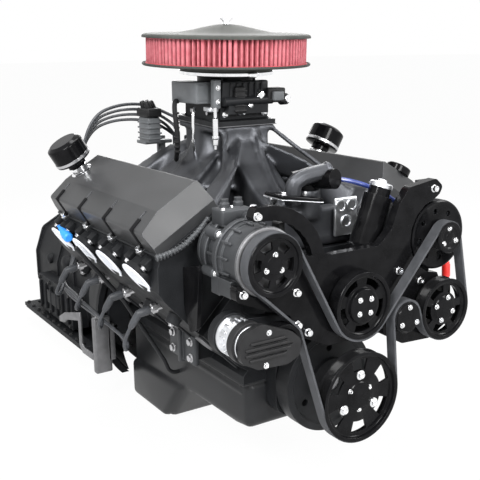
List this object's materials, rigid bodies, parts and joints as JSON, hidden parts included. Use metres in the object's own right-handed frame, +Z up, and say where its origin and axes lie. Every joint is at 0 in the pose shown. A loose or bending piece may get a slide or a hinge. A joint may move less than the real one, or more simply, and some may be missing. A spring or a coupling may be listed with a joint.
{
  "type": "v8 engine",
  "caption": "Big-block V8 engine with air cleaner, accessory drive, oil pan, bellhousing and full internal crank, cam and valve train.",
  "frame": {"origin": "crankshaft axis at the rear face of the cylinder block", "axes": "+Z up in the car, crankshaft along Y with the pulleys toward -Y, +X toward the driver bank"},
  "size_m": [0.6921, 1.514, 0.8913],
  "materials": {
    "black_paint": "satin",
    "gloss_black": "gloss",
    "cast_black": "cast satin",
    "cast_grey": "cast",
    "steel": "machined",
    "iron": "machined",
    "chrome": "polished",
    "aluminium": "machined",
    "rubber": "matt",
    "filter_red": "pleated",
    "plastic_black": "moulded",
    "plastic_grey": "moulded",
    "cover_white": "satin",
    "gasket_grey": "matt"
  },
  "bodies": {
    "engine": {"accessory_brackets": "gloss_black", "air_cleaner_base": "gloss_black", "air_cleaner_lid": "gloss_black", "alternator": "cast_black", "bellhousing": "cast_black", "breathers_and_filler_cap": "gloss_black", "cap_screws": "chrome", "compressor": "cast_grey", "connecting_rods": "steel", "cylinder_block": "cast_black", "cylinder_head_left": "cast_black", "cylinder_head_right": "cast_black", "dipstick_tube": "steel", "distributor": "aluminium", "distributor_cap": "plastic_black", "filter_element": "filter_red", "fluid_reservoir": "gloss_black", "gearbox_case": "cast_black", "head_gaskets": "gasket_grey", "ignition_coil": "plastic_grey", "injection_cover": "plastic_grey", "intake_manifold": "cast_black", "lifters_pushrods_rockers": "steel", "main_bearing_caps": "iron", "oil_filter": "black_paint", "oil_pan": "black_paint", "pistons": "aluminium", "plug_wires": "rubber", "port_covers": "cover_white", "serpentine_belt": "rubber", "spark_plugs": "steel", "steering_pump": "cast_black", "tensioner_housing": "aluminium", "thermostat_housing": "gloss_black", "throttle_body": "black_paint", "timing_chain": "steel", "timing_cover": "cast_black", "valve_cover_left": "black_paint", "valve_cover_right": "black_paint", "valves_and_springs": "steel", "water_pump_housing": "cast_black"},
    "crank_train": {"crankshaft": "steel", "crank_sprocket": "steel", "harmonic_damper": "black_paint", "crank_pulley": "gloss_black", "flexplate": "steel"},
    "cam_train": {"camshaft": "iron", "cam_sprocket": "steel"},
    "ignition_rotor": {"distributor_rotor": "plastic_black"},
    "pump_rotor": {"water_pump_pulley": "gloss_black", "water_pump_impeller": "steel"},
    "clutch": {"compressor_pulley": "gloss_black"},
    "alternator_wheel": {"alternator_pulley": "gloss_black"},
    "steering_wheel_drive": {"steering_pump_pulley": "gloss_black"},
    "idler": {"idler_pulley": "gloss_black"},
    "tension_arm": {"tensioner_arm": "black_paint"},
    "tension_wheel": {"tensioner_pulley": "gloss_black"},
    "throttle_front": {"throttle_shaft_front": "steel"},
    "throttle_rear": {"throttle_shaft_rear": "steel"},
    "lid_nut": {"wing_nut": "chrome"}
  },
  "joints": [
    {"name": "crank_turn", "type": "hinge", "parent": "engine", "child": "crank_train", "pos_m": [0, -0.678, 0], "axis": [0, 1, 0], "continuous": true, "deforming": ["pistons", "connecting_rods"]},
    {"name": "cam_turn", "type": "hinge", "parent": "engine", "child": "cam_train", "pos_m": [0, -0.5, 0.1309], "axis": [0, 1, 0], "continuous": true},
    {"name": "rotor_turn", "type": "hinge", "parent": "engine", "child": "ignition_rotor", "pos_m": [0, -0.05, 0.345], "axis": [0, 0, -1], "continuous": true},
    {"name": "pump_turn", "type": "hinge", "parent": "engine", "child": "pump_rotor", "pos_m": [0, -0.678, 0.1753], "axis": [0, 1, 0], "continuous": true},
    {"name": "clutch_turn", "type": "hinge", "parent": "engine", "child": "clutch", "pos_m": [-0.191, -0.678, 0.2795], "axis": [0, 1, 0], "continuous": true},
    {"name": "alternator_turn", "type": "hinge", "parent": "engine", "child": "alternator_wheel", "pos_m": [0.208, -0.678, 0.272], "axis": [0, 1, 0], "continuous": true},
    {"name": "steering_turn", "type": "hinge", "parent": "engine", "child": "steering_wheel_drive", "pos_m": [0.2057, -0.678, 0.1308], "axis": [0, 1, 0], "continuous": true},
    {"name": "idler_turn", "type": "hinge", "parent": "engine", "child": "idler", "pos_m": [0.107, -0.678, 0.1329], "axis": [0, 1, 0], "continuous": true},
    {"name": "tension_swing", "type": "hinge", "parent": "engine", "child": "tension_arm", "pos_m": [-0.24, -0.678, 0.153], "axis": [0, 1, 0], "range_deg": [-5, 14], "stiffness_Nm_per_rad": 30, "deforming": ["serpentine_belt"]},
    {"name": "tension_turn", "type": "hinge", "parent": "tension_arm", "child": "tension_wheel", "pos_m": [-0.174, -0.678, 0.139], "axis": [0, 1, 0], "continuous": true},
    {"name": "throttle_front_turn", "type": "hinge", "parent": "engine", "child": "throttle_front", "pos_m": [0, -0.26194, 0.49266], "axis": [1, 0, 0], "range_deg": [0, 80], "stiffness_Nm_per_rad": 0.4},
    {"name": "throttle_rear_turn", "type": "hinge", "parent": "engine", "child": "throttle_rear", "pos_m": [0, -0.19599, 0.4953], "axis": [1, 0, 0], "range_deg": [0, 80]},
    {"name": "wing_nut_turn", "type": "hinge", "parent": "engine", "child": "lid_nut", "pos_m": [0, -0.23623, 0.67483], "axis": [0, -0.0401, 0.9992], "continuous": true}
  ],
  "couplings": [
    {"joint": "cam_turn", "follows": "crank_turn", "ratio": 0.5},
    {"joint": "rotor_turn", "follows": "crank_turn", "ratio": 0.5},
    {"joint": "pump_turn", "follows": "crank_turn", "ratio": -1.334},
    {"joint": "clutch_turn", "follows": "crank_turn", "ratio": 1.611},
    {"joint": "alternator_turn", "follows": "crank_turn", "ratio": 2.932},
    {"joint": "steering_turn", "follows": "crank_turn", "ratio": 1.437},
    {"joint": "idler_turn", "follows": "crank_turn", "ratio": -2.66},
    {"joint": "tension_turn", "follows": "crank_turn", "ratio": -2.245},
    {"joint": "throttle_rear_turn", "follows": "throttle_front_turn", "ratio": 1}
  ]
}
